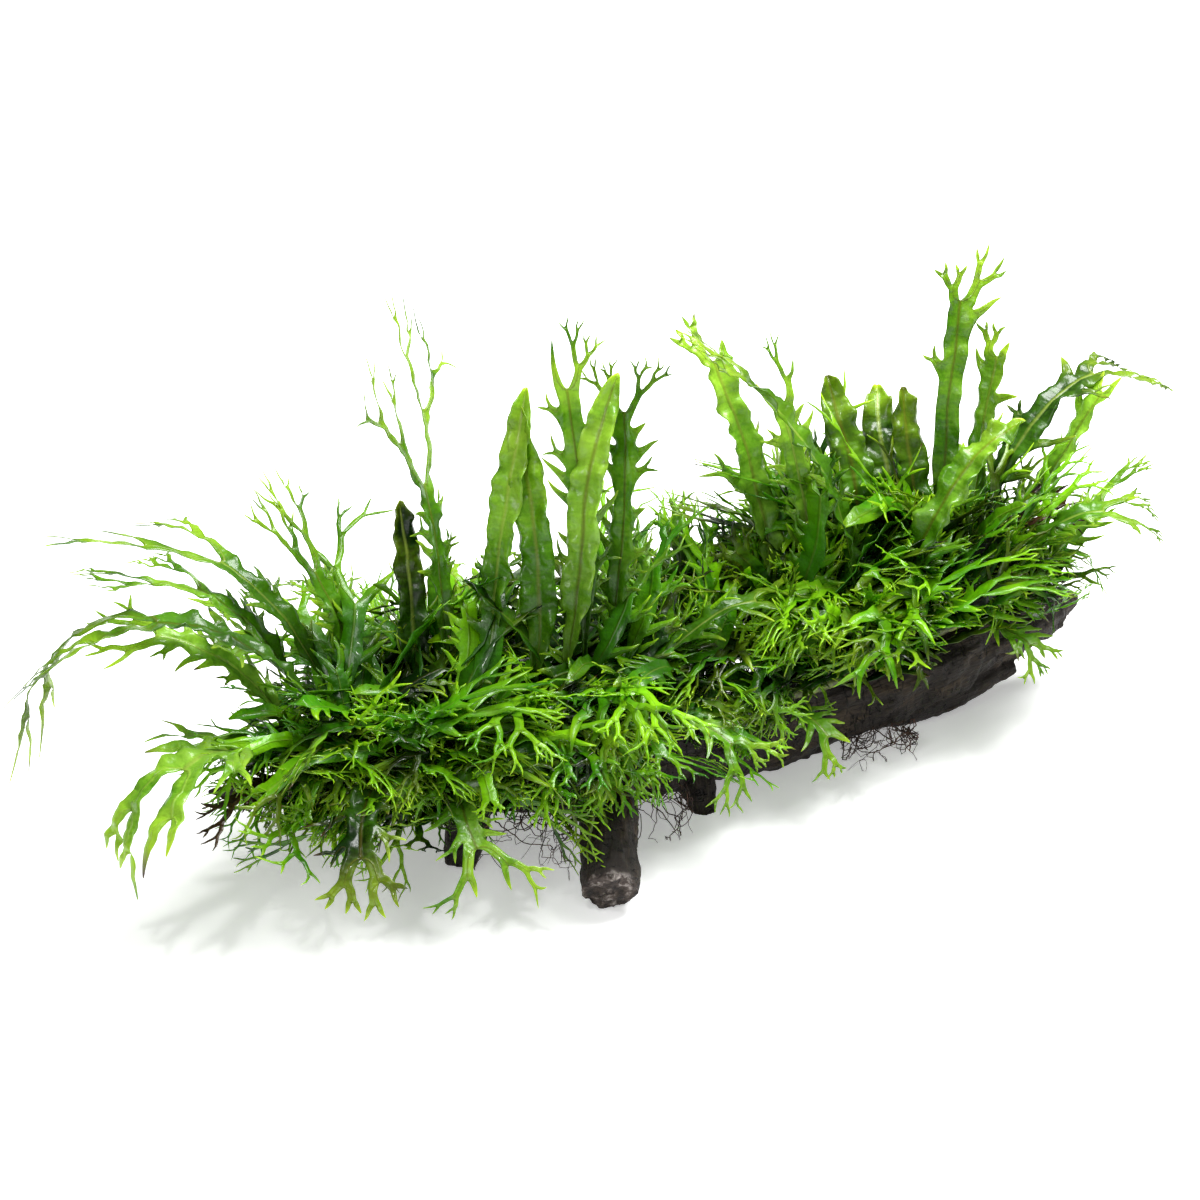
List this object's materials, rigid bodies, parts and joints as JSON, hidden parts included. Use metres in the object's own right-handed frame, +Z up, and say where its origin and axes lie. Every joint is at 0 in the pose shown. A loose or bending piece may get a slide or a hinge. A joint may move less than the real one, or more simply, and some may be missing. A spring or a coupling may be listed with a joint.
{
  "type": "java fern on driftwood",
  "caption": "Branched driftwood log that carries two clumps of lace-tipped java fern fronds on creeping stems.",
  "frame": {"origin": "middle of the plant's footprint, on the surface it rests on", "axes": "+X from the log's thin left tip to its right end, along the longest extent; +Y to the back; +Z up"},
  "size_m": [0.5208, 0.337, 0.2449],
  "materials": {
    "driftwood": "dark wet bark, brown-black, fissured along the grain, semi-matte",
    "rhizome": "green-brown scaly creeping stem, satin",
    "hair_roots": "near-black wiry hair roots, matte",
    "short_fronds": "wet green leaf, glossy, translucent at the edges",
    "long_fronds": "wet green leaf with a brown midrib, glossy, translucent"
  },
  "bodies": {
    "root": {"trunk": "driftwood", "left_arm": "driftwood", "front_stub": "driftwood", "left_knee": "driftwood", "middle_foot": "driftwood", "lower_prong": "driftwood", "end_splinter": "driftwood", "rhizome_left_front": "rhizome", "rhizome_left_back": "rhizome", "rhizome_middle": "rhizome", "rhizome_right_front": "rhizome", "rhizome_right_back": "rhizome", "roots_left": "hair_roots", "roots_middle": "hair_roots", "roots_right": "hair_roots", "foliage_left_front": "short_fronds", "foliage_left_middle": "short_fronds", "foliage_left_back": "short_fronds", "foliage_middle_front": "short_fronds", "foliage_middle_back": "short_fronds", "foliage_right_front": "short_fronds", "foliage_right_back": "short_fronds", "foliage_right_end": "short_fronds", "frond_01": "long_fronds", "frond_02": "long_fronds", "frond_03": "long_fronds", "frond_04": "long_fronds", "frond_05": "long_fronds", "frond_06": "long_fronds", "frond_07": "long_fronds", "frond_08": "long_fronds", "frond_09": "long_fronds", "frond_10": "long_fronds", "frond_11": "long_fronds", "frond_12": "long_fronds", "frond_13": "long_fronds", "frond_14": "long_fronds", "frond_15": "long_fronds", "frond_16": "long_fronds", "frond_17": "long_fronds", "frond_18": "long_fronds", "frond_19": "long_fronds", "frond_20": "long_fronds", "frond_21": "long_fronds", "frond_22": "long_fronds", "frond_23": "long_fronds", "frond_24": "long_fronds", "frond_25": "long_fronds", "frond_26": "long_fronds", "frond_27": "long_fronds", "frond_28": "long_fronds", "frond_29": "long_fronds", "frond_30": "long_fronds", "frond_31": "long_fronds", "frond_32": "long_fronds", "frond_33": "long_fronds", "frond_34": "long_fronds", "frond_35": "long_fronds", "frond_36": "long_fronds", "frond_37": "long_fronds"}
  },
  "joints": []
}
